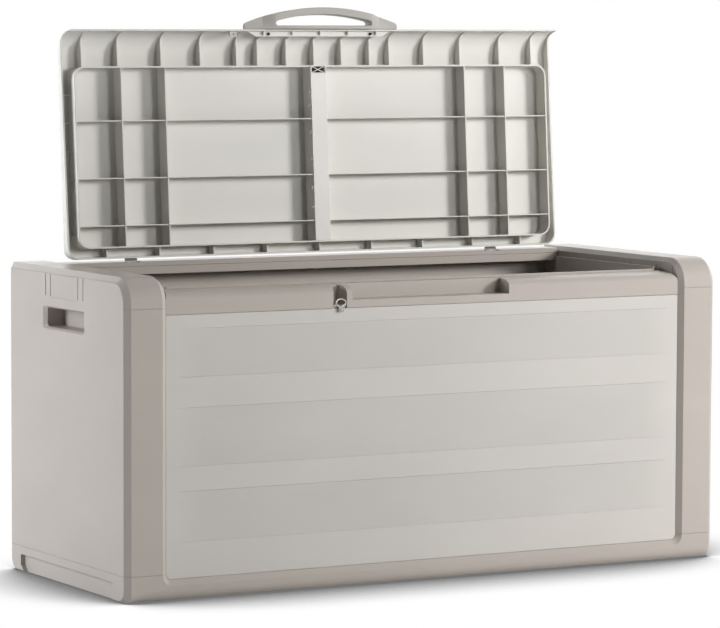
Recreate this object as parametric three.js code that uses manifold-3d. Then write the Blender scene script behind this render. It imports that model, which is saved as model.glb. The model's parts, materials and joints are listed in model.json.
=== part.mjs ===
// Deck storage box with a hinged lid, shown with the lid standing open on its stop.
// Millimetres, +Z up, front towards -Y, origin on the floor under the middle of the box.
import * as THREE from "three";
import { mergeVertices } from "three/addons/utils/BufferGeometryUtils.js";
import Module from "manifold-3d";

const wasm = await Module();
wasm.setup();

// ---- driving dimensions ----
const GAP = 0.3; // between pieces that touch

// the box
const LENGTH = 1200;
const DEPTH = 480;
const HEIGHT = 552;
const CHAMFER = 10; // on the outer edges of the end frames
const ARM_FRONT_RADIUS = 45;
const FOOT_RADIUS = 20;
const HALF_L = LENGTH / 2;
const HALF_D = DEPTH / 2;

// the posts frame the wall panels, which stand back from them behind a bevel
const POST_IN = 531; // where the bevel starts, from the middle of the box
const REVEAL = 8; // how far the panels stand back
const BEVEL = 9.5; // width of the bevel
const OPEN_IN = POST_IN - BEVEL; // clear half width between the posts
const PANEL_Y = HALF_D - REVEAL; // outer face of the wall panels

// heights of the joints between base, walls and top pieces
const BASE_TOP = 46;
const CAP_SEAM = 499;
const SKIRT_FACE = 26; // top of the flat of the base skirt
const SKIRT_TOP = 36; // top of its bevel
const RAIL_BOTTOM = 487;

// skins
const SKIN = 5;
const FLOOR_TOP = 10;
const TONGUE = [PANEL_Y - 6, PANEL_Y - 3]; // edge of a wall panel, held in a slot
const TONGUE_IN = 557; // how far the tongues reach into the posts
const JAW = PANEL_Y - 11; // inner face of the slot's inner jaw

// hand hole in each end
const GRIP = {
  y: 8, half: 85, low: 444, high: 484.5, // outer edge of its bevelled rim
  rim: 7, rimLow: 3.9, rimHigh: 3.2, rimDepth: 6, // bevel at the ends, below, above, and its depth
  depth: 38, wall: 4,
};

// front rail
const RAIL_BACK = 182;
const RAIL_TOP = 530;
const NOSE = { y: -209, z: 513, deep: 22.7, high: 13, steps: 7 }; // quarter ellipse
const SCOOP = { half: 160, floor: 501, back: 198 };
const LATCH_X = -184;

// lid, drawn shut and then turned about the hinge line
const LID_HALF = 514;
const LID_TOP = HEIGHT;
const LID_BACK = 170;
const LID_SKIN = 3;
const LID_NOSE_RADIUS = 46;
const LIP_BOTTOM = 500;
const RIB_BOTTOM = 518; // the loop and the deep ribs inside it
const NOSE_RIB_BOTTOM = 532.5;
const LOOP = { half: 496, front: -175, back: 151, radius: 22, wall: 3 };
const NOSE_RIBS = [58, 118, 161, 235.5, 315, 402, 473.5];
const LONG_RIBS = [315, 403];
const CROSS_RIBS = [-77, 26, 111];
const STRIP_HALF = 16;
const FLANGE = { half: 152, edge: -227.5, low: 508.5, screwX: 107, screwY: -232 }; // under the handle
const LID_EDGE = 7; // rounding along the lid's two ends
const RIB = { long: 1.2, cross: 1, nose: 1.25, end: 1 }; // half thicknesses of the lid's ribs
const WINDOW = { half: 14.5, ends: [-174, -160.5] }; // opening in the front end of the strip

// hinge
const HINGE = { y: 184, z: 541, pin: 3, lug: 6, x: 380, lugWidth: 24 };
const DECK_FRONT = 175; // front edge of the fixed deck behind the lid
const OPEN_ANGLE = THREE.MathUtils.degToRad(94);

// handle on the lid's lip
const HANDLE = { half: 161, reach: 39.7, end: 12, bar: 6.3, hole: 100, side: 9, rise: 11.5 };
const HANDLE_DEPTH = { low: 488, high: 514, footLow: 500, footHigh: 505 };

const ARC_STEPS = 7;

// ---- materials ----
const paint = (color, roughness, metalness = 0) =>
  new THREE.MeshStandardMaterial({ color, roughness, metalness });
const FRAME = () => paint("#c3bbb3", 0.5);
const PANEL = () => paint("#d6d3cd", 0.55);
const LID = () => paint("#dddad5", 0.5);
const GRIP_GREY = () => paint("#c0bbb5", 0.5);
const STEEL = () => paint("#c9cbcd", 0.25, 1);
const DARK = () => paint("#2b2926", 0.6);

// ---- solids ----
const PLACE = {
  x: (a, b, t) => [t, a, b],
  y: (a, b, t) => [a, t, b],
  z: (a, b, t) => [a, b, t],
};

function solid(geometry) {
  const bare = geometry.clone();
  bare.deleteAttribute("normal");
  bare.deleteAttribute("uv");
  const merged = mergeVertices(bare, 1e-4);
  return new wasm.Manifold(
    new wasm.Mesh({
      numProp: 3,
      vertProperties: merged.attributes.position.array,
      triVerts: new Uint32Array(merged.index.array),
    }),
  );
}

const add = (...parts) => parts.reduce((a, b) => a.add(b));
const cut = (body, ...tools) => tools.reduce((a, b) => a.subtract(b), body);

// A skin through outlines that lie at stations along one axis, closed at both ends.
function loft(axis, stations) {
  const corners = (points) => points.map(([a, b]) => new THREE.Vector2(a, b));
  const clockwise = THREE.ShapeUtils.area(corners(stations[0].points)) < 0;
  const sections = stations
    .map(({ at, points }) => ({ at, points: clockwise ? [...points].reverse() : points }))
    .sort((p, q) => p.at - q.at);
  const count = sections[0].points.length;
  const positions = [];
  const index = [];
  for (const { at, points } of sections)
    for (const [a, b] of points) positions.push(...PLACE[axis](a, b, at));
  for (let s = 0; s < sections.length - 1; s++)
    for (let i = 0; i < count; i++) {
      const a = s * count + i;
      const b = s * count + ((i + 1) % count);
      index.push(a, b, b + count, a, b + count, a + count);
    }
  const capFaces = ({ points }) => THREE.ShapeUtils.triangulateShape(corners(points), []);
  for (const [a, b, c] of capFaces(sections[0])) index.push(a, c, b);
  const last = (sections.length - 1) * count;
  for (const [a, b, c] of capFaces(sections.at(-1))) index.push(last + a, last + b, last + c);
  if (axis === "y")
    for (let i = 0; i < index.length; i += 3) [index[i], index[i + 1]] = [index[i + 1], index[i]];
  const geometry = new THREE.BufferGeometry();
  geometry.setAttribute("position", new THREE.Float32BufferAttribute(positions, 3));
  geometry.setIndex(index);
  return solid(geometry);
}

const prism = (axis, points, from, to) =>
  loft(axis, [{ at: from, points }, { at: to, points }]);

function block([x0, x1], [y0, y1], [z0, z1]) {
  const geometry = new THREE.BoxGeometry(Math.abs(x1 - x0), y1 - y0, z1 - z0);
  geometry.translate((x0 + x1) / 2, (y0 + y1) / 2, (z0 + z1) / 2);
  return solid(geometry);
}

function rod(axis, [a, b], radius, from, to, steps = 16) {
  const points = [];
  for (let i = 0; i < steps; i++) {
    const angle = (2 * Math.PI * (i + 0.5)) / steps;
    points.push([a + radius * Math.cos(angle), b + radius * Math.sin(angle)]);
  }
  return prism(axis, points, from, to);
}

// A closed outline from corners [a, b, radius]; a radius rounds the corner in ARC_STEPS facets.
function outline(corners) {
  const points = [];
  corners.forEach(([a, b, radius], i) => {
    const corner = new THREE.Vector2(a, b);
    if (!radius) return points.push([a, b]);
    const towards = (j) => {
      const [c, d] = corners[(j + corners.length) % corners.length];
      return new THREE.Vector2(c, d).sub(corner).normalize();
    };
    const before = towards(i - 1);
    const after = towards(i + 1);
    const half = Math.acos(before.dot(after)) / 2;
    const along = radius / Math.tan(half);
    const middle = before.clone().add(after).normalize();
    const centre = corner.clone().addScaledVector(middle, radius / Math.sin(half));
    const start = corner.clone().addScaledVector(before, along).sub(centre);
    const end = corner.clone().addScaledVector(after, along).sub(centre);
    const turn = Math.atan2(start.cross(end), start.dot(end));
    for (let step = 0; step <= ARC_STEPS; step++) {
      const p = start.clone().rotateAround(new THREE.Vector2(), (turn * step) / ARC_STEPS);
      points.push([centre.x + p.x, centre.y + p.y]);
    }
  });
  return points;
}

const mirrorX = (body) => body.mirror([1, 0, 0]);
const mirrorY = (body) => body.mirror([0, 1, 0]);

// ---- the box's outer form ----
// Side outline of an end frame, drawn in by `inset` all round and by `lift` at the floor.
const sideOutline = (inset, lift) =>
  outline([
    [-HALF_D + inset, lift, FOOT_RADIUS],
    [HALF_D - inset, lift, FOOT_RADIUS],
    [HALF_D - inset, HEIGHT - inset, 3],
    [-HALF_D + inset, HEIGHT - inset, ARM_FRONT_RADIUS - inset],
  ]);

const endFrame = loft("x", [
  { at: OPEN_IN, points: sideOutline(REVEAL, 0) },
  { at: POST_IN, points: sideOutline(0, 0) },
  { at: HALF_L - CHAMFER, points: sideOutline(0, 0) },
  { at: HALF_L, points: sideOutline(CHAMFER, 3) },
]);

const band = (from, to) => block([-HALF_L - 1, HALF_L + 1], [-HALF_D - 1, HALF_D + 1], [from, to]);

// The panel opening in the front of the frame: bevelled edges, rounded lower corners.
const openingOutline = (y) => {
  const out = Math.max(0, -PANEL_Y - y) / REVEAL;
  const half = OPEN_IN + BEVEL * out;
  const low = SKIRT_TOP - (SKIRT_TOP - SKIRT_FACE) * out;
  const radius = 9.5 + 9 * out;
  return outline([[-half, low, radius], [half, low, radius], [half, 700], [-half, 700]]);
};
const frontOpening = loft(
  "y",
  [-HALF_D - 1, -PANEL_Y, -TONGUE[0] + GAP].map((at) => ({ at, points: openingOutline(at) })),
);

// Slot that holds the edges of a wall panel.
const frontSlot = block(
  [-TONGUE_IN - GAP, TONGUE_IN + GAP],
  [-TONGUE[1] - GAP, -TONGUE[0] + GAP],
  [16 - GAP, CAP_SEAM + 10],
);

// ---- base tray ----
function baseTray() {
  let body = loft("x", [
    { at: -HALF_L, points: sideOutline(CHAMFER, 3) },
    { at: -HALF_L + CHAMFER, points: sideOutline(0, 0) },
    { at: HALF_L - CHAMFER, points: sideOutline(0, 0) },
    { at: HALF_L, points: sideOutline(CHAMFER, 3) },
  ]).intersect(band(-1, BASE_TOP - GAP / 2));
  const well = block([-588, 588], [-218, 218], [FLOOR_TOP, 100]);
  const scallop = outline([[-185, -1], [176, -1], [191, 13], [191, 31.5], [-185, 31.5]]);
  const endRecess = prism("x", scallop, HALF_L - 8, HALF_L + 1);
  body = cut(body, well, frontOpening, mirrorY(frontOpening), frontSlot, mirrorY(frontSlot));
  body = cut(body, endRecess, mirrorX(endRecess));
  // pockets under the floor, between ribs and the flat cross it stands on
  for (const x of [-574, -440, -306, -172, 38, 172, 306, 440])
    for (const y of [-206, -112, 22, 116])
      body = cut(body, block([x, x + 134 - 8], [y, y + 86], [-1, 6]));
  return body;
}

// ---- end walls, with posts and hand hole ----
// The flat outer face of an end wall, above the cap's seam, drawn in by `inset`.
const upperFace = (inset, from) =>
  prism("x", sideOutline(CHAMFER + inset, 3), from, HALF_L + 1)
    .intersect(band(CAP_SEAM - GAP, HEIGHT));

function sidePanel() {
  let body = endFrame.intersect(band(BASE_TOP + GAP / 2, CAP_SEAM - GAP / 2));
  body = cut(body, block([500, HALF_L - SKIN], [-JAW, JAW], [0, 600]));
  const postCore = block([TONGUE_IN + 4, HALF_L - 7], [-HALF_D + 5.5, -JAW - 4], [0, 600]);
  body = cut(body, frontSlot, mirrorY(frontSlot), postCore, mirrorY(postCore));
  const { y, half, low, high, rim, rimLow, rimHigh, rimDepth, depth, wall } = GRIP;
  const hole = (share) => {
    const [front, rear] = [y - half + rim * share, y + half - rim * share];
    const [bottom, top] = [low + rimLow * share, high - rimHigh * share];
    return outline([[front, bottom, 8], [rear, bottom, 8], [rear, top, 4], [front, top, 4]]);
  };
  const pocket = block(
    [HALF_L - depth - wall, HALF_L - SKIN + 1],
    [y - half + rim - wall, y + half - rim + wall],
    [low + rimLow - wall, high - rimHigh + wall],
  );
  const inside = prism("x", hole(1), HALF_L - depth, HALF_L + 1);
  const flare = loft("x", [
    { at: HALF_L - rimDepth, points: hole(1) },
    { at: HALF_L + 0.01, points: hole(0) },
  ]);
  body = cut(add(body, pocket), inside, flare);
  // upper part of the flat face, with two pairs of grooves and a fine line between them
  body = add(body, upperFace(GAP / 2, HALF_L - SKIN + GAP / 2).intersect(endFrame));
  const groove = (depth, ys, zs) => block([HALF_L - depth, HALF_L + 1], ys, zs);
  for (const [grooveY, depth] of [[-71.5, 1], [-51, 2.2], [61, 2.2], [81.5, 1]])
    body = cut(body, groove(depth, [grooveY - 1.1, grooveY + 1.1], [503, 540.5]));
  body = cut(body, groove(0.5, [-49, 59], [500.6, 501.6]));
  // stiffening ribs down the inner face of the wall, clear of the hand hole
  for (const ribY of [-150, -110, 118, 158])
    body = add(body, block([HALF_L - SKIN - 8, HALF_L - SKIN + 1], [ribY - 1.5, ribY + 1.5], [60, 480]));
  return body;
}

// ---- top pieces over the end walls: arm, rain gutter and upstand ----
function topCap() {
  let body = endFrame.intersect(band(CAP_SEAM + GAP / 2, HEIGHT + 1));
  const wallIn = HALF_L - 2 * SKIN + 1;
  const hollow = [[OPEN_IN + 4, 400], [wallIn, 400], [wallIn, HEIGHT - 10], [wallIn - 5, HEIGHT - 5],
    [OPEN_IN + 4, HEIGHT - 12]];
  body = cut(body, prism("y", hollow, -198, JAW), upperFace(-GAP / 2, HALF_L - SKIN - GAP / 2));
  const gutterEnds = [-RAIL_BACK + GAP, DECK_FRONT - GAP];
  body = add(
    body,
    block([500.5, OPEN_IN + 2], gutterEnds, [CAP_SEAM + GAP / 2, CAP_SEAM + 4.5]),
    block([500.5, 503.5], [-RAIL_BACK + GAP, 150], [CAP_SEAM + 2, 535.5]),
  );
  const seams = [-214, -161, -76, 0, 76, 150];
  for (const y of seams)
    body = cut(body, block([OPEN_IN - 1, OPEN_IN + 1.4], [y - 0.9, y + 0.9], [505, 540]));
  return body;
}

// ---- wall panels with planks in low relief ----
function wallPanel(planks) {
  const main = block([-OPEN_IN + GAP, OPEN_IN - GAP], [-PANEL_Y, -TONGUE[0]],
    [SKIRT_TOP + GAP, RAIL_BOTTOM - GAP]);
  const tongue = block([-TONGUE_IN, TONGUE_IN], [-TONGUE[1], -TONGUE[0]], [16, RAIL_BOTTOM + 6]);
  const corner = outline([
    [-OPEN_IN + GAP, SKIRT_TOP + GAP, 9.5],
    [OPEN_IN - GAP, SKIRT_TOP + GAP, 9.5],
    [OPEN_IN - GAP, 700],
    [-OPEN_IN + GAP, 700],
  ]);
  let body = add(main.intersect(prism("y", corner, -HALF_D, 0)), tongue);
  const sunk = 1.2;
  const end = 500; // planks' half length, with a short ramp up to the panel's face
  const flat = end - 12;
  const plan = [[-end, -HALF_D], [end, -HALF_D], [end, -PANEL_Y], [flat, -PANEL_Y + sunk],
    [-flat, -PANEL_Y + sunk], [-end, -PANEL_Y]];
  for (const [low, high] of planks) body = cut(body, prism("z", plan, low, high));
  // thinned inner face with ribs down it
  body = cut(body, block([-505, 505], [-TONGUE[1] + 0.5, 0], [56, 468]));
  for (const x of [-390, -130, 130, 390])
    body = add(body, block([x - 1.5, x + 1.5], [-TONGUE[1] - 0.5, -JAW + 4], [50, 474]));
  return body;
}

// ---- front rail: nose, finger scoop and latch notch ----
function frontRail() {
  const nose = [[-PANEL_Y, RAIL_BOTTOM + GAP], [-RAIL_BACK, RAIL_BOTTOM + GAP],
    [-RAIL_BACK, RAIL_TOP - 1.5]];
  for (let step = 0; step <= NOSE.steps; step++) {
    const angle = (Math.PI / 2) * (step / NOSE.steps);
    nose.push([NOSE.y - NOSE.deep * Math.sin(angle), NOSE.z + NOSE.high * Math.cos(angle)]);
  }
  // rounded upper corners where it meets the arms
  const end = OPEN_IN - GAP;
  const face = outline([[-end, 400], [end, 400], [end, RAIL_TOP + 1, 20], [-end, RAIL_TOP + 1, 20]]);
  let body = prism("x", nose, -end, end).intersect(prism("y", face, -HALF_D, 0));
  // low upstand along its back edge
  const lipTop = RAIL_TOP + 1.7;
  const lip = outline([[-498, 500], [498, 500], [498, lipTop, 1.4], [-498, lipTop, 1.4]]);
  body = add(body, prism("y", lip, -RAIL_BACK - 4.5, -RAIL_BACK));
  const scoop = outline([[-HALF_D, SCOOP.floor], [-SCOOP.back, SCOOP.floor, 3], [-SCOOP.back, 560],
    [-HALF_D, 560]]);
  body = cut(body, prism("x", scoop, -SCOOP.half, SCOOP.half));
  const notch = (wide) => [[LATCH_X - wide, 480], [LATCH_X + wide, 480], [LATCH_X + wide, 560],
    [LATCH_X - wide, 560]];
  body = cut(body, loft("y", [
    { at: -PANEL_Y - 1, points: notch(13.5) },
    { at: -206, points: notch(9.5) },
  ]));
  for (const side of [-1, 1])
    body = cut(body, block([Math.min(210 * side, 514 * side), Math.max(210 * side, 514 * side)],
      [-222, -RAIL_BACK - 5], [480, 512]));
  return cut(body, block([-600, 600], [-TONGUE[1] - GAP, -TONGUE[0] + GAP],
    [480, RAIL_BOTTOM + 6 + GAP]));
}

// ---- rear rail: the fixed deck behind the lid, with the hinge seats ----
function rearRail() {
  const lip = DECK_FRONT;
  const skin = [
    [lip + 1, 526], [lip + 3, 526], [lip + 3, 545], [222, 545], [222, 505], [JAW, 500],
    [JAW, RAIL_BOTTOM + GAP], [PANEL_Y, RAIL_BOTTOM + GAP], [PANEL_Y, 542], [PANEL_Y - 7, 549],
    [lip + 1.5, 549], [lip, 547.5], [lip, 541], [lip + 1, 540],
  ];
  let body = prism("x", skin, -OPEN_IN + GAP, OPEN_IN - GAP);
  for (const x of [-300, -150, 0, 150, 300])
    body = add(body, block([x - 1.5, x + 1.5], [lip + 2, 224], [530, 546]));
  // seats for the hinge pins, either side of the slots the lid's lugs turn in
  for (const x of [-HINGE.x, HINGE.x]) {
    const wide = HINGE.lugWidth / 2 + 1.5;
    body = add(body, block([x - 26, x + 26], [lip + 1, 202], [528, 548]));
    body = cut(body,
      block([x - wide, x + wide], [lip + 2.5, 198], [510, 560]),
      block([x - wide, x + wide], [lip - 1, 198], [548, 560]),
      rod("x", [HINGE.y, HINGE.z], HINGE.pin + GAP, x - 22, x + 22));
  }
  return cut(body, block([-600, 600], [TONGUE[0] - GAP, TONGUE[1] + GAP],
    [480, RAIL_BOTTOM + 6 + GAP]));
}

// ---- lid ----
const lidOutline = (inset, low) =>
  outline([
    [-HALF_D + inset, low],
    [LID_BACK - inset, low],
    [LID_BACK - inset, LID_TOP - inset, 5],
    [-HALF_D + inset, LID_TOP - inset, LID_NOSE_RADIUS - inset],
  ]);
const lidPlan = (inset) =>
  outline([
    [-LID_HALF + inset, -HALF_D - 1],
    [LID_HALF - inset, -HALF_D - 1],
    [LID_HALF - inset, LID_BACK - inset, 24 - inset],
    [-LID_HALF + inset, LID_BACK - inset, 24 - inset],
  ]);
// Lower edge shared by the lip's ribs and the end skirts: a curve out to the lip.
const noseCurve = [[-236.8, 501], [-235.6, 511], [-233, 519], [-229.6, 526.5], [-224.5, 531],
  [-217, 533]];

function lidPanel() {
  const end = (x, inset) => ({ at: x, points: lidOutline(inset, 480) });
  const outer = loft("x", [
    end(-LID_HALF, LID_EDGE), end(-LID_HALF + 0.3 * LID_EDGE, 0.3 * LID_EDGE),
    end(-LID_HALF + LID_EDGE, 0), end(LID_HALF - LID_EDGE, 0),
    end(LID_HALF - 0.3 * LID_EDGE, 0.3 * LID_EDGE), end(LID_HALF, LID_EDGE),
  ]).intersect(prism("z", lidPlan(0), 400, 600));
  const inner = prism("x", lidOutline(LID_SKIN, 470), -LID_HALF + LID_SKIN, LID_HALF - LID_SKIN)
    .intersect(prism("z", lidPlan(LID_SKIN), 400, 600));
  const below = [[-236.8, 400], ...noseCurve, [-196, 533.5], [162, 528], [200, 528], [200, 400]];
  let body = cut(outer, inner, prism("x", below, -600, 600));
  body = cut(body, block([-600, 600], [-250, 200], [400, LIP_BOTTOM]));

  // loop and the ribs inside it
  const { half, front, back, radius, wall } = LOOP;
  const loop = (inset) => outline([
    [-half + inset, front + inset, radius - inset], [half - inset, front + inset, radius - inset],
    [half - inset, back - inset, radius - inset], [-half + inset, back - inset, radius - inset],
  ]);
  const top = LID_TOP - 1.5;
  const ribs = [cut(prism("z", loop(0), RIB_BOTTOM, top), prism("z", loop(wall), 400, 600))];
  for (const x of LONG_RIBS)
    for (const side of [-1, 1])
      ribs.push(block([side * x - RIB.long, side * x + RIB.long], [front + 1, back - 1],
        [RIB_BOTTOM, top]));
  for (const y of CROSS_RIBS)
    for (const side of [-1, 1]) {
      const near = side * (STRIP_HALF + GAP);
      const far = side * (half - 1);
      ribs.push(block([Math.min(near, far), Math.max(near, far)], [y - RIB.cross, y + RIB.cross],
        [RIB_BOTTOM + 1, top]));
    }
  // ribs from the loop out to the lip, the end skirts and the back skirt
  const noseRib = [[front + 1, top], [front + 1, NOSE_RIB_BOTTOM], [-198, NOSE_RIB_BOTTOM],
    ...[...noseCurve].reverse(), [-237.5, 501], [-237.5, top]];
  const steppedRib = [[front + 1, top], [front + 1, NOSE_RIB_BOTTOM], [-223.5, NOSE_RIB_BOTTOM - 1],
    [-229.5, 508], [-231, 504], [-237.5, 502.5], [-237.5, top]];
  for (const x of [0, ...NOSE_RIBS, ...NOSE_RIBS.map((value) => -value)]) {
    const profile = Math.abs(x) < FLANGE.half ? steppedRib : noseRib;
    ribs.push(prism("x", profile, x - RIB.nose, x + RIB.nose).intersect(outer));
  }
  for (const y of [-125, -75, -24, 28, 78, 127])
    for (const side of [-1, 1]) {
      const near = side * (half - 1);
      const far = side * (LID_HALF - 2);
      ribs.push(block([Math.min(near, far), Math.max(near, far)], [y - RIB.end, y + RIB.end],
        [537.5, top]));
    }
  for (const x of [-436, -330, -220, -110, 0, 110, 220, 330, 436])
    ribs.push(block([x - RIB.nose, x + RIB.nose], [back - 1, LID_BACK - 2], [531, top]));
  // flange under the handle, and the hinge lugs
  const flange = [[-FLANGE.half, -237.5], [-FLANGE.half + 20, FLANGE.edge],
    [FLANGE.half - 20, FLANGE.edge], [FLANGE.half, -237.5]];
  ribs.push(prism("z", flange, FLANGE.low, FLANGE.low + 3));
  const { y, z } = HINGE;
  const neck = [[LID_BACK - 1.5, z + 7.8], [y - 4.5, z + 7.8], [y - 3, z + 5], [y, z], [y + 6, z],
    [y + 6, z + 7.6], [y + 3, z + 10.6], [LID_BACK - 1.5, z + 10.6]];
  for (const x of [-HINGE.x, HINGE.x]) {
    const ends = [x - HINGE.lugWidth / 2, x + HINGE.lugWidth / 2];
    ribs.push(add(prism("x", neck, ...ends), rod("x", [y, z], HINGE.lug, ...ends)));
  }
  body = add(body, ...ribs);
  for (const x of [-HINGE.x, HINGE.x])
    body = cut(body, rod("x", [HINGE.y, HINGE.z], HINGE.pin + 0.5, x - 14, x + 14));
  body = cut(body, block([-STRIP_HALF - GAP, STRIP_HALF + GAP],
    [front - 1, front + wall + 1], [510, 531]));
  // screw holes through the flange
  for (const x of [-FLANGE.screwX, FLANGE.screwX])
    body = cut(body, rod("z", [x, FLANGE.screwY], 2, 495, FLANGE.low + 4, 10));
  return body;
}

// Stiffening strip down the middle of the lid: a channel with clip tabs and an end window.
function lidStrip() {
  const [from, to] = [LOOP.front - 0.5, LOOP.back - LOOP.wall - GAP];
  const floor = RIB_BOTTOM - 1;
  const top = LID_TOP - LID_SKIN - GAP;
  const wall = 2.5;
  let body = cut(
    block([-STRIP_HALF, STRIP_HALF], [from, to], [floor, top]),
    block([-STRIP_HALF + wall, STRIP_HALF - wall], [from + wall, to - wall], [floor + 3, LID_TOP]),
    block([-20, 20], [from - 1, LOOP.front + LOOP.wall + GAP], [531 - GAP, LID_TOP]),
    block([-WINDOW.half, WINDOW.half], WINDOW.ends, [500, 540]),
  );
  for (const y of [-126, -102, -52, -2, 50, 86])
    for (const side of [-1, 1]) {
      const ends = [side * (STRIP_HALF - 1), side * (STRIP_HALF + 3)].sort((a, b) => a - b);
      body = add(body, rod("x", [y, RIB_BOTTOM + 6], 5, ...ends, 10));
    }
  return body;
}

// Crossed bars in the strip's end window.
function stripBrace() {
  const [from, to] = WINDOW.ends;
  const x = WINDOW.half - GAP;
  const y = (to - from) / 2 - GAP;
  const frame = cut(block([-x, x], [-y, y], [0, 2]), block([-x + 1, x - 1], [-y + 1, y - 1], [-1, 3]));
  const bar = (side) =>
    prism("z", [[-x, -side * y], [-x + 1.6, -side * y], [x, side * (y - 0.8)], [x, side * y],
      [x - 1.6, side * y], [-x, -side * (y - 0.8)]], 0, 2);
  return add(frame, bar(1), bar(-1)).translate([0, (from + to) / 2, RIB_BOTTOM]);
}

// Arched carrying handle standing out from the lip, deeper between its feet.
function lidHandle() {
  const face = -HALF_D - GAP;
  const { half, reach, end, bar, hole, side, rise } = HANDLE;
  const arch = (edge, height, steps, down) => {
    const points = [];
    for (let i = 0; i <= steps; i++) {
      const t = (2 * i) / steps - 1;
      points.push([edge * t, face - down - height * (1 - t * t)]);
    }
    return points;
  };
  const outer = [[half, face], [half, face - end + 5], [half - 1.5, face - end + 2],
    ...arch(half - 5, reach - end, 20, end).reverse(),
    [-half + 1.5, face - end + 2], [-half, face - end + 5], [-half, face]];
  const inner = [[hole - 3, face - bar], [hole, face - bar - 3], [hole, face - bar - side + 3],
    ...arch(hole - 4, rise, 16, bar + side).reverse(),
    [-hole, face - bar - side + 3], [-hole, face - bar - 3], [-hole + 3, face - bar]];
  const { low, high, footLow, footHigh } = HANDLE_DEPTH;
  const depth = [[-half, footLow], [-hole - 22, footLow - 1], [-hole - 2, low], [hole + 2, low],
    [hole + 22, footLow - 1], [half, footLow], [half, footHigh], [hole + 10, high], [-hole - 10, high],
    [-half, footHigh]];
  const body = cut(prism("z", outer, low, high), prism("z", inner, low - 1, high + 1))
    .intersect(prism("y", depth, face - 100, face + 10));
  // seat against the round of the lid's nose
  const nose = prism("x", lidOutline(-GAP, 480), -600, 600);
  return cut(body, nose);
}

// Screw: round head under the flange, shank up into it.
function flangeScrew(x) {
  return add(
    rod("z", [x, FLANGE.screwY], 3, FLANGE.low - 2.4, FLANGE.low - GAP, 12),
    rod("z", [x, FLANGE.screwY], 1.6, FLANGE.low - 1.5, FLANGE.low + 6, 10),
  );
}

const latchTab = () =>
  cut(
    prism(
      "z",
      outline([[-188, -236.6], [-188, -226.5, 3], [-173, -226.5, 3], [-173, -236.6]]),
      505,
      507.4,
    ),
    rod("z", [-180.5, -231], 2, 500, 512, 10),
  );

// Padlock eye: an oval ring on a stem that is let into the notch.
function latchEye() {
  const ring = new THREE.TorusGeometry(8.6, 1.7, 8, 20);
  ring.rotateX(Math.PI / 2);
  ring.scale(1.08, 1, 0.78);
  ring.translate(LATCH_X, -234.2, 496.4);
  const stem = block([LATCH_X - 5, LATCH_X + 5], [-235.8, -232.4], [481, 490.6]);
  const foot = block([LATCH_X - 5, LATCH_X + 5], [-235.8, -229.5], [RAIL_BOTTOM + 1, RAIL_BOTTOM + 3.4]);
  return add(solid(ring), stem, foot);
}

const latchRivet = () =>
  add(
    rod("y", [LATCH_X, 484.2], 2.4, -237.2, -235.8 - GAP, 12),
    rod("y", [LATCH_X, 484.2], 1.2, -236.8, -236.1, 8),
  );

// ---- assembly ----
const box = new THREE.Group();
box.name = "deck_storage_box";

function piece(parent, name, body, material) {
  const made = body.getMesh();
  const geometry = new THREE.BufferGeometry();
  const positions = new THREE.Float32BufferAttribute(made.vertProperties, 3);
  geometry.setAttribute("position", positions);
  geometry.setIndex(new THREE.Uint32BufferAttribute(made.triVerts, 1));
  const flat = geometry.toNonIndexed();
  flat.computeVertexNormals();
  const mesh = new THREE.Mesh(flat, material);
  mesh.name = name;
  parent.add(mesh);
  return mesh;
}

const front = wallPanel([[98, 185], [227, 328], [380, 463]]);
piece(box, "base_tray", baseTray(), FRAME());
piece(box, "right_side_panel", sidePanel(), FRAME());
piece(box, "left_side_panel", mirrorX(sidePanel()), FRAME());
piece(box, "right_top_cap", topCap(), FRAME());
piece(box, "left_top_cap", mirrorX(topCap()), FRAME());
piece(box, "front_panel", front, PANEL());
piece(box, "rear_panel", mirrorY(front), PANEL());
piece(box, "front_rail", frontRail(), FRAME());
piece(box, "rear_rail", rearRail(), FRAME());
for (const [name, x] of [["left", -HINGE.x], ["right", HINGE.x]])
  piece(box, `${name}_hinge_pin`, rod("x", [HINGE.y, HINGE.z], HINGE.pin, x - 21, x + 21), STEEL());
piece(box, "latch_eye", latchEye(), STEEL());
piece(box, "latch_rivet", latchRivet(), STEEL());

// The lid turns about the hinge line; its pieces are drawn where they lie when it is shut.
const hinge = new THREE.Group();
hinge.name = "lid_hinge_line";
hinge.position.set(0, HINGE.y, HINGE.z);
hinge.rotation.x = -OPEN_ANGLE;
const lid = new THREE.Group();
lid.name = "lid";
lid.position.set(0, -HINGE.y, -HINGE.z);
hinge.add(lid);
box.add(hinge);

piece(lid, "lid_panel", lidPanel(), LID());
piece(lid, "lid_centre_strip", lidStrip(), LID());
piece(lid, "strip_brace", stripBrace(), LID());
piece(lid, "lid_handle", lidHandle(), GRIP_GREY());
piece(lid, "left_handle_screw", flangeScrew(-FLANGE.screwX), DARK());
piece(lid, "right_handle_screw", flangeScrew(FLANGE.screwX), DARK());
piece(lid, "latch_tab", latchTab(), PANEL());

export default box;
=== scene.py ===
"""Deck storage box with its lid open: looks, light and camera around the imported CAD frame."""

import json
import math

import bmesh
import bpy
from mathutils import Matrix, Vector


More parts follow.
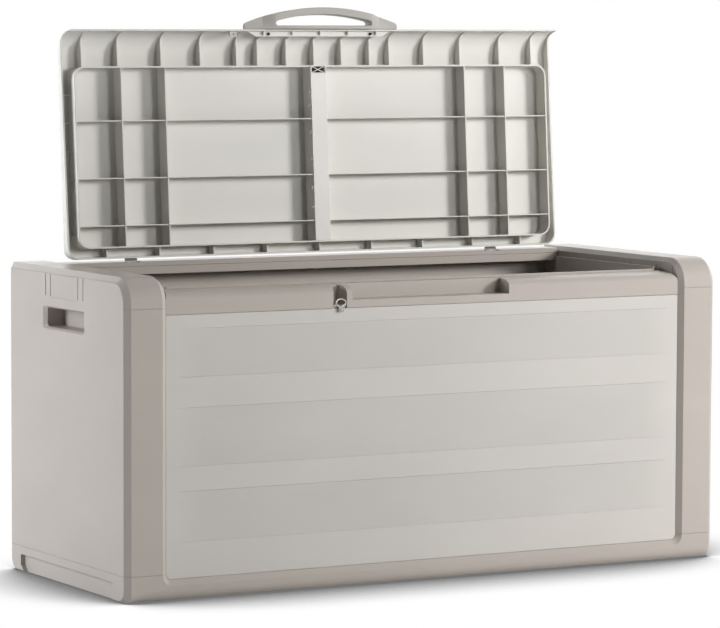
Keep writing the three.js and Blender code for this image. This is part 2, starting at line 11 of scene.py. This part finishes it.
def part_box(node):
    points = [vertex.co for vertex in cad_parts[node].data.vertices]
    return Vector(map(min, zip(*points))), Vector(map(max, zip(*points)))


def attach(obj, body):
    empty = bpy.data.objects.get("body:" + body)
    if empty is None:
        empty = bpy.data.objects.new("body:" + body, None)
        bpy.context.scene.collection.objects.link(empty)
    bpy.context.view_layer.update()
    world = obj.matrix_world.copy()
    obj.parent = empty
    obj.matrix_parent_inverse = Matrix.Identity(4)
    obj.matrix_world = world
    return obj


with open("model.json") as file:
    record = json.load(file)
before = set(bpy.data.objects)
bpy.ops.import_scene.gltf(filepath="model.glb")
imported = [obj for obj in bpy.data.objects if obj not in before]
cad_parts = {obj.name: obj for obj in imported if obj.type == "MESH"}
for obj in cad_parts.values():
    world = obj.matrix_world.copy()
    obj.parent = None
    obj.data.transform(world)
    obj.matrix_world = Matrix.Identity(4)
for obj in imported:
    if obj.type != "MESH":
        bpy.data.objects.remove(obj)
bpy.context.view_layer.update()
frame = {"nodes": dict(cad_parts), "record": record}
nodes = frame["nodes"]
scene = bpy.context.scene

# ---------------------------------------------------------------- materials
# Linear base colours. Lengths are in metres throughout.
TAUPE = (0.430, 0.390, 0.354)
PALE = (0.536, 0.512, 0.481)
LID_PALE = (0.700, 0.686, 0.646)
STRIP_PALE = (0.790, 0.775, 0.732)
HANDLE_GREY = (0.450, 0.428, 0.398)
COATED_BLACK = (0.02, 0.02, 0.02)
PLATE_GREY = (0.46, 0.46, 0.45)
STEEL_GREY = (0.56, 0.56, 0.55)

NOISE_BAND = (0.3, 0.7)  # the part of a noise's values that counts
EDGE_SAMPLES = 4
EDGE_RADIUS = 0.0011
LID_EDGE_RADIUS = 0.0008
HANDLE_EDGE_RADIUS = 0.0016
METAL_EDGE_RADIUS = 0.0004

# Plastic: colour drift, light flecks, rubbed patches, slow waves and fine grain.
PLASTIC_SPECULAR = 0.24
PLASTIC_IOR = 1.49
FLOW_SCALE = 3.0
FLOW_DETAIL = 4.0
FLOW_STRETCH = (1, 1, 2.2)
FLOW_RANGE = (0.965, 1.03)
FLECK_SCALE = 900.0
FLECK_DETAIL = 2.0
FLECK_RANGE = (0.985, 1.015)
RUB_SCALE = 11.0
RUB_DETAIL = 5.0
RUB_SPREAD = 0.05
WAVE_SCALE = 9.0
WAVE_DETAIL = 1.0
WAVE_HEIGHT = 0.0012
WAVE_STRENGTH = 0.22
GRAIN_SCALE = 1100.0
GRAIN_DETAIL = 2.0
GRAIN_HEIGHT = 0.00012
GRAIN_STRENGTH = 0.5
COATING_GRAIN_HEIGHT = 0.00004

# Metal: drawn lines along X, and cloudy darker patches.
LINE_SCALE = 700.0
LINE_DETAIL = 2.0
LINE_STRETCH = (0.06, 1, 1)
LINE_HEIGHT = 0.00005
LINE_STRENGTH = 0.4
PATCH_SCALE = 160.0
PATCH_DETAIL = 3.0
PATCH_TONE = 0.88

# The planks of the wall panels: their lowest and highest Z, the |X| where their darker tone
# ends, the length over which it fades, and the tone.
PLANKS = ((0.098, 0.185), (0.227, 0.328), (0.380, 0.463))
PLANK_HALF = 0.5
PLANK_FADE = 0.05
PLANK_TONE = 0.945


def new_material(name):
    material = bpy.data.materials.new(name)
    material.use_nodes = True
    tree = material.node_tree
    return material, tree, tree.nodes["Principled BSDF"]


def link(tree, source, target):
    tree.links.new(source, target)


def noise(tree, coords, scale, detail, stretch=(1, 1, 1)):
    mapping = tree.nodes.new("ShaderNodeMapping")
    mapping.inputs["Scale"].default_value = stretch
    link(tree, coords, mapping.inputs["Vector"])
    node = tree.nodes.new("ShaderNodeTexNoise")
    node.inputs["Scale"].default_value = scale
    node.inputs["Detail"].default_value = detail
    link(tree, mapping.outputs["Vector"], node.inputs["Vector"])
    return node.outputs["Fac"]


def spread(tree, value, low, high):
    """A noise's value, mapped to low..high."""
    node = tree.nodes.new("ShaderNodeMapRange")
    node.inputs["From Min"].default_value = NOISE_BAND[0]
    node.inputs["From Max"].default_value = NOISE_BAND[1]
    node.inputs["To Min"].default_value = low
    node.inputs["To Max"].default_value = high
    link(tree, value, node.inputs["Value"])
    return node.outputs["Result"]


def between(tree, value, low, high):
    """1 where value lies between low and high, and 0 elsewhere."""
    node = tree.nodes.new("ShaderNodeMath")
    node.operation = "COMPARE"
    node.inputs[1].default_value = (low + high) / 2
    node.inputs[2].default_value = (high - low) / 2
    link(tree, value, node.inputs[0])
    return node.outputs["Value"]


def combine(tree, operation, first, second):
    """The result of a maths node on two inputs, each a number or a socket."""
    node = tree.nodes.new("ShaderNodeMath")
    node.operation = operation
    for socket, value in zip(node.inputs, (first, second)):
        if isinstance(value, (int, float)):
            socket.default_value = value
        else:
            link(tree, value, socket)
    return node.outputs["Value"]


def plank_tone(tree, coords):
    """A factor a little under 1 on the planks of a wall panel."""
    place = tree.nodes.new("ShaderNodeSeparateXYZ")
    link(tree, coords, place.inputs["Vector"])
    on_plank = 0
    for low, high in PLANKS:
        on_plank = combine(tree, "ADD", on_plank, between(tree, place.outputs["Z"], low, high))
    along = combine(tree, "ABSOLUTE", place.outputs["X"], 0)
    fade = tree.nodes.new("ShaderNodeMapRange")
    fade.inputs["From Min"].default_value = PLANK_HALF
    fade.inputs["From Max"].default_value = PLANK_HALF - PLANK_FADE
    link(tree, along, fade.inputs["Value"])
    on_plank = combine(tree, "MULTIPLY", on_plank, fade.outputs["Result"])
    return combine(tree, "SUBTRACT", 1, combine(tree, "MULTIPLY", on_plank, 1 - PLANK_TONE))


def rounded_edge(tree, radius):
    """The normal of a surface whose edges are rounded to this radius."""
    edge = tree.nodes.new("ShaderNodeBevel")
    edge.samples = EDGE_SAMPLES
    edge.inputs["Radius"].default_value = radius
    return edge.outputs["Normal"]


def bump(tree, height, depth, strength, normal):
    node = tree.nodes.new("ShaderNodeBump")
    node.inputs["Distance"].default_value = depth
    node.inputs["Strength"].default_value = strength
    link(tree, height, node.inputs["Height"])
    link(tree, normal, node.inputs["Normal"])
    return node.outputs["Normal"]


def moulded_plastic(name, colour, roughness, grain=GRAIN_HEIGHT, radius=EDGE_RADIUS, planks=False):
    """Polypropylene from a textured mould: fine grain, slight flow shading, rounded edges."""
    material, tree, shader = new_material(name)
    coords = tree.nodes.new("ShaderNodeTexCoord").outputs["Object"]

    # The colour drifts a little across the moulding and has fine flecks.
    flow = spread(tree, noise(tree, coords, FLOW_SCALE, FLOW_DETAIL, FLOW_STRETCH), *FLOW_RANGE)
    fleck = spread(tree, noise(tree, coords, FLECK_SCALE, FLECK_DETAIL), *FLECK_RANGE)
    both = combine(tree, "MULTIPLY", flow, fleck)
    if planks:
        both = combine(tree, "MULTIPLY", both, plank_tone(tree, coords))
    tint = tree.nodes.new("ShaderNodeMix")
    tint.data_type = "RGBA"
    tint.blend_type = "MULTIPLY"
    tint.inputs["Factor"].default_value = 1.0
    tint.inputs["A"].default_value = (*colour, 1)
    link(tree, both, tint.inputs["B"])
    link(tree, tint.outputs["Result"], shader.inputs["Base Color"])

    # Faint polished patches lie where hands and cloths rub.
    rub = noise(tree, coords, RUB_SCALE, RUB_DETAIL)
    rub = spread(tree, rub, roughness - RUB_SPREAD, roughness + RUB_SPREAD)
    link(tree, rub, shader.inputs["Roughness"])
    shader.inputs["Specular IOR Level"].default_value = PLASTIC_SPECULAR
    shader.inputs["IOR"].default_value = PLASTIC_IOR

    waves = bump(tree, noise(tree, coords, WAVE_SCALE, WAVE_DETAIL), WAVE_HEIGHT, WAVE_STRENGTH,
                 rounded_edge(tree, radius))
    skin = bump(tree, noise(tree, coords, GRAIN_SCALE, GRAIN_DETAIL), grain, GRAIN_STRENGTH, waves)
    link(tree, skin, shader.inputs["Normal"])
    return material


def metal(name, colour, roughness, brush):
    """Metal with fine drawn lines along X, rougher by up to brush along them."""
    material, tree, shader = new_material(name)
    coords = tree.nodes.new("ShaderNodeTexCoord").outputs["Object"]
    lines = noise(tree, coords, LINE_SCALE, LINE_DETAIL, LINE_STRETCH)
    shader.inputs["Metallic"].default_value = 1.0
    shade = tree.nodes.new("ShaderNodeMix")
    shade.data_type = "RGBA"
    shade.inputs["A"].default_value = (*[part * PATCH_TONE for part in colour], 1)
    shade.inputs["B"].default_value = (*colour, 1)
    link(tree, noise(tree, coords, PATCH_SCALE, PATCH_DETAIL), shade.inputs["Factor"])
    link(tree, shade.outputs["Result"], shader.inputs["Base Color"])
    link(tree, spread(tree, lines, roughness, roughness + brush), shader.inputs["Roughness"])
    link(tree, bump(tree, lines, LINE_HEIGHT, LINE_STRENGTH, rounded_edge(tree, METAL_EDGE_RADIUS)),
         shader.inputs["Normal"])
    return material


# The finish of each material slot. The number after each colour is the roughness.
FINISH = {
    "frame_plastic": moulded_plastic("taupe moulding", TAUPE, 0.35),
    "panel_plastic": moulded_plastic("pale panel moulding", PALE, 0.52, planks=True),
    "lid_plastic": moulded_plastic("pale lid moulding", LID_PALE, 0.48, radius=LID_EDGE_RADIUS),
    "handle_plastic": moulded_plastic("grey handle moulding", HANDLE_GREY, 0.45,
                                      radius=HANDLE_EDGE_RADIUS),
    "bright_metal": metal("bright plate", PLATE_GREY, 0.18, brush=0.12),
    "pin_steel": metal("drawn steel", STEEL_GREY, 0.28, brush=0.15),
    "dark_screw": moulded_plastic("black coated screw", COATED_BLACK, 0.35, COATING_GRAIN_HEIGHT,
                                  METAL_EDGE_RADIUS),
}
# The strip is paler than the lid it is fixed to.
OWN_FINISH = {
    "lid_centre_strip": moulded_plastic("paler strip moulding", STRIP_PALE, 0.48,
                                        radius=LID_EDGE_RADIUS),
}
slot_of = {part["node"]: part["material_slot"] for part in frame["record"]["subparts"]}

CREASE_ANGLE = math.radians(26)
ROUNDING_ANGLE = math.radians(35)
ROUNDING_SEGMENTS = 2
WELD = 0.00002
SPOTS_PER_METRE = 1e5  # corners of two faces that fall on one spot count as one corner
# Width of the rounding cut on the corners of the pieces that are rounded in their mesh.
ROUNDED = {
    "lid_handle": 0.0012,
    "front_panel": 0.0005,
    "rear_panel": 0.0005,
    "left_hinge_pin": 0.0005,
    "right_hinge_pin": 0.0005,
    "latch_rivet": 0.0003,
}


def crease(mesh):
    """Mark the edges where two faces meet at a corner, so that curved faces shade smoothly."""
    def spot(index):
        return tuple(round(value * SPOTS_PER_METRE) for value in mesh.vertices[index].co)

    meeting = {}
    for face in mesh.polygons:
        for pair in face.edge_keys:
            meeting.setdefault(frozenset(map(spot, pair)), []).append(face.normal.copy())
    for edge in mesh.edges:
        normals = meeting.get(frozenset(map(spot, edge.vertices)), [])
        edge.use_edge_sharp = len(normals) != 2 or normals[0].angle(normals[1], 0) > CREASE_ANGLE


for name, node in nodes.items():
    mesh = node.data
    mesh.materials.clear()
    mesh.materials.append(OWN_FINISH.get(name, FINISH[slot_of[name]]))
    for face in mesh.polygons:
        face.use_smooth = True
    crease(mesh)
    weld = node.modifiers.new("weld", "WELD")
    weld.merge_threshold = WELD
    if name in ROUNDED:
        rounding = node.modifiers.new("rounding", "BEVEL")
        rounding.width = ROUNDED[name]
        rounding.segments = ROUNDING_SEGMENTS
        rounding.limit_method = "ANGLE"
        rounding.angle_limit = ROUNDING_ANGLE
        rounding.use_clamp_overlap = False
        rounding.loop_slide = False
        even = node.modifiers.new("even shading", "WEIGHTED_NORMAL")
        even.keep_sharp = False


# ---------------------------------------------------------------- dark plate behind the crossed bars, painted shade for the deep pocket there
SHADE_DEPTH = 0.0035  # from the middle of the bars to the plate's front face
SHADE_THICK = 0.0008
SHADE_HALF = (0.0130, 0.0072)
SHADE_CORNER = 0.0015
SHADE_CORNER_STEPS = 4
LEAN = math.radians(94)  # the open lid is turned by this from shut


def painted_shade_plate():
    """A thin dark plate with rounded corners inside the strip, behind its end window: painted shade
    that darkens the deep pocket behind the bars.
    """
    low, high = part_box("strip_brace")
    middle = (low + high) / 2
    inward = Vector((0, math.sin(LEAN), math.cos(LEAN)))
    along = Vector((0, -math.cos(LEAN), math.sin(LEAN)))
    outline = []
    for quarter, (side, end) in enumerate(((1, 1), (-1, 1), (-1, -1), (1, -1))):
        for step in range(SHADE_CORNER_STEPS + 1):
            angle = math.radians(90 * (quarter + step / SHADE_CORNER_STEPS))
            outline.append((side * (SHADE_HALF[0] - SHADE_CORNER) + SHADE_CORNER * math.cos(angle),
                            end * (SHADE_HALF[1] - SHADE_CORNER) + SHADE_CORNER * math.sin(angle)))
    shape = bmesh.new()
    rims = []
    for depth in (SHADE_DEPTH, SHADE_DEPTH + SHADE_THICK):
        rims.append([shape.verts.new(middle + Vector((x, 0, 0)) + along * y + inward * depth)
                     for x, y in outline])
    shape.faces.new(rims[0])
    shape.faces.new(reversed(rims[1]))
    count = len(outline)
    for index in range(count):
        after = (index + 1) % count
        shape.faces.new((rims[0][index], rims[1][index], rims[1][after], rims[0][after]))
    bmesh.ops.recalc_face_normals(shape, faces=shape.faces)
    mesh = bpy.data.meshes.new("painted_shade_plate")
    shape.to_mesh(mesh)
    shape.free()
    # The black coated finish here is painted shade, making the pocket behind the window dark.
    mesh.materials.append(FINISH["dark_screw"])
    plate = bpy.data.objects.new("painted_shade_plate", mesh)
    scene.collection.objects.link(plate)
    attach(plate, "lid")


# The dark plate paints the shade in the pocket behind the strip's end window.
painted_shade_plate()

# ---------------------------------------------------------------- stage
WHITE = (1, 1, 1, 1)
FLOOR_RADIUS = 40
FLOOR_SIDES = 96
FLOOR_DROP = 0.0008  # under the box's feet, so that no faces coincide
FLOOR_GREY = (0.86, 0.86, 0.86, 1)
FLOOR_ROUGHNESS = 0.9
FLOOR_SPECULAR = 0.1
# How far the box shades the floor, the openness at which the shade is deepest and at which it is
# gone, and the deepest tone.
SHADOW_REACH = 0.40
SHADOW_DEEPEST = 0.50
SHADOW_GONE = 0.76
SHADOW_TONE = 0.18
SHADOW_SAMPLES = 24
GLOSS_SKY = 1.6  # how strongly the white surroundings show in gloss


def stage_floor():
    """A pale matt floor, seen as plain white with a soft contact shadow round the box."""
    bpy.ops.mesh.primitive_circle_add(
        vertices=FLOOR_SIDES, radius=FLOOR_RADIUS, fill_type="NGON", location=(0, 0, -FLOOR_DROP)
    )
    floor = bpy.context.object
    floor.name = "floor"
    material, tree, shader = new_material("pale floor")
    shader.inputs["Base Color"].default_value = FLOOR_GREY
    shader.inputs["Roughness"].default_value = FLOOR_ROUGHNESS
    shader.inputs["Specular IOR Level"].default_value = FLOOR_SPECULAR
    near = tree.nodes.new("ShaderNodeAmbientOcclusion")
    near.samples = SHADOW_SAMPLES
    near.inputs["Distance"].default_value = SHADOW_REACH
    shade = tree.nodes.new("ShaderNodeMapRange")
    shade.inputs["From Min"].default_value = SHADOW_DEEPEST
    shade.inputs["From Max"].default_value = SHADOW_GONE
    shade.inputs["To Min"].default_value = SHADOW_TONE
    link(tree, near.outputs["AO"], shade.inputs["Value"])
    white = tree.nodes.new("ShaderNodeEmission")
    white.inputs["Color"].default_value = WHITE
    link(tree, shade.outputs["Result"], white.inputs["Strength"])
    seen = tree.nodes.new("ShaderNodeMixShader")
    link(tree, tree.nodes.new("ShaderNodeLightPath").outputs["Is Camera Ray"], seen.inputs["Fac"])
    link(tree, shader.outputs["BSDF"], seen.inputs[1])
    link(tree, white.outputs["Emission"], seen.inputs[2])
    link(tree, seen.outputs["Shader"], tree.nodes["Material Output"].inputs["Surface"])
    floor.data.materials.append(material)


def softbox(name, place, aim, size, power, colour=(1, 1, 1)):
    """A rectangular light at place that faces aim. It doesn't show in gloss."""
    data = bpy.data.lights.new(name, "AREA")
    data.shape = "RECTANGLE"
    data.size, data.size_y = size
    data.energy = power
    data.color = colour
    light = bpy.data.objects.new(name, data)
    light.location = place
    light.visible_glossy = False
    light.rotation_euler = (Vector(aim) - Vector(place)).to_track_quat("-Z", "Y").to_euler()
    scene.collection.objects.link(light)


stage_floor()
# Name, place, the point it faces, width and height, power in watts, and colour where not white.
SOFTBOXES = (
    ("key", (2.4, -2.2, 1.5), (0, 0, 0.5), (0.7, 0.7), 82),
    ("far key", (1.6, -4.6, 1.7), (0, 0, 0.5), (1.0, 1.0), 64),
    ("right", (3.6, -2.8, 1.5), (0, 0, 0.5), (1.6, 1.6), 15),
    ("side", (-2.2, 0.65, 0.75), (-0.6, 0, 0.3), (0.8, 1.2), 33, (0.96, 0.995, 1.04)),
    ("top", (0.3, 0.9, 3.4), (0, 0, 0.3), (2.4, 1.6), 14),
    ("behind", (-0.8, 3.8, 1.3), (0, 0, 0.4), (2.0, 1.4), 45),
    ("rear", (2.2, 2.2, 2.2), (0.4, 0, 0.4), (1.2, 1.2), 46),
)
for row in SOFTBOXES:
    softbox(*row)

# Plain white all round: seen behind the box and in its gloss, but giving it no light of its own.
world = bpy.data.worlds.new("studio")
world.use_nodes = True
sky = world.node_tree
path = sky.nodes.new("ShaderNodeLightPath")
gloss = sky.nodes.new("ShaderNodeMath")
gloss.operation = "MULTIPLY_ADD"
gloss.inputs[1].default_value = GLOSS_SKY
link(sky, path.outputs["Is Glossy Ray"], gloss.inputs[0])
link(sky, path.outputs["Is Camera Ray"], gloss.inputs[2])
sky.nodes["Background"].inputs["Color"].default_value = WHITE
link(sky, gloss.outputs["Value"], sky.nodes["Background"].inputs["Strength"])
scene.world = world
scene.view_settings.view_transform = "Standard"
scene.view_settings.look = "None"

# ---------------------------------------------------------------- camera
# A long lens from the front left, a little above the top of the open lid.
CAMERA_PLACE = Vector((-3.2987, -5.8204, 0.9960))
CAMERA_YAW = math.radians(29.440)
CAMERA_PITCH = math.radians(4.637)
CAMERA_ROLL = math.radians(0.208)
SENSOR = 36.0
LENS = 185.14
CLIP_END = 200

ahead = Vector((
    math.sin(CAMERA_YAW) * math.cos(CAMERA_PITCH),
    math.cos(CAMERA_YAW) * math.cos(CAMERA_PITCH),
    -math.sin(CAMERA_PITCH),
))
right = Vector((math.cos(CAMERA_YAW), -math.sin(CAMERA_YAW), 0))
up = right.cross(ahead)
right, up = (
    right * math.cos(CAMERA_ROLL) + up * math.sin(CAMERA_ROLL),
    up * math.cos(CAMERA_ROLL) - right * math.sin(CAMERA_ROLL),
)
camera_data = bpy.data.cameras.new("camera")
camera_data.sensor_width = SENSOR
camera_data.lens = LENS
camera_data.clip_end = CLIP_END
camera = bpy.data.objects.new("camera", camera_data)
facing = Matrix((right, up, -ahead)).transposed().to_4x4()
camera.matrix_world = Matrix.Translation(CAMERA_PLACE) @ facing
scene.collection.objects.link(camera)
scene.camera = camera
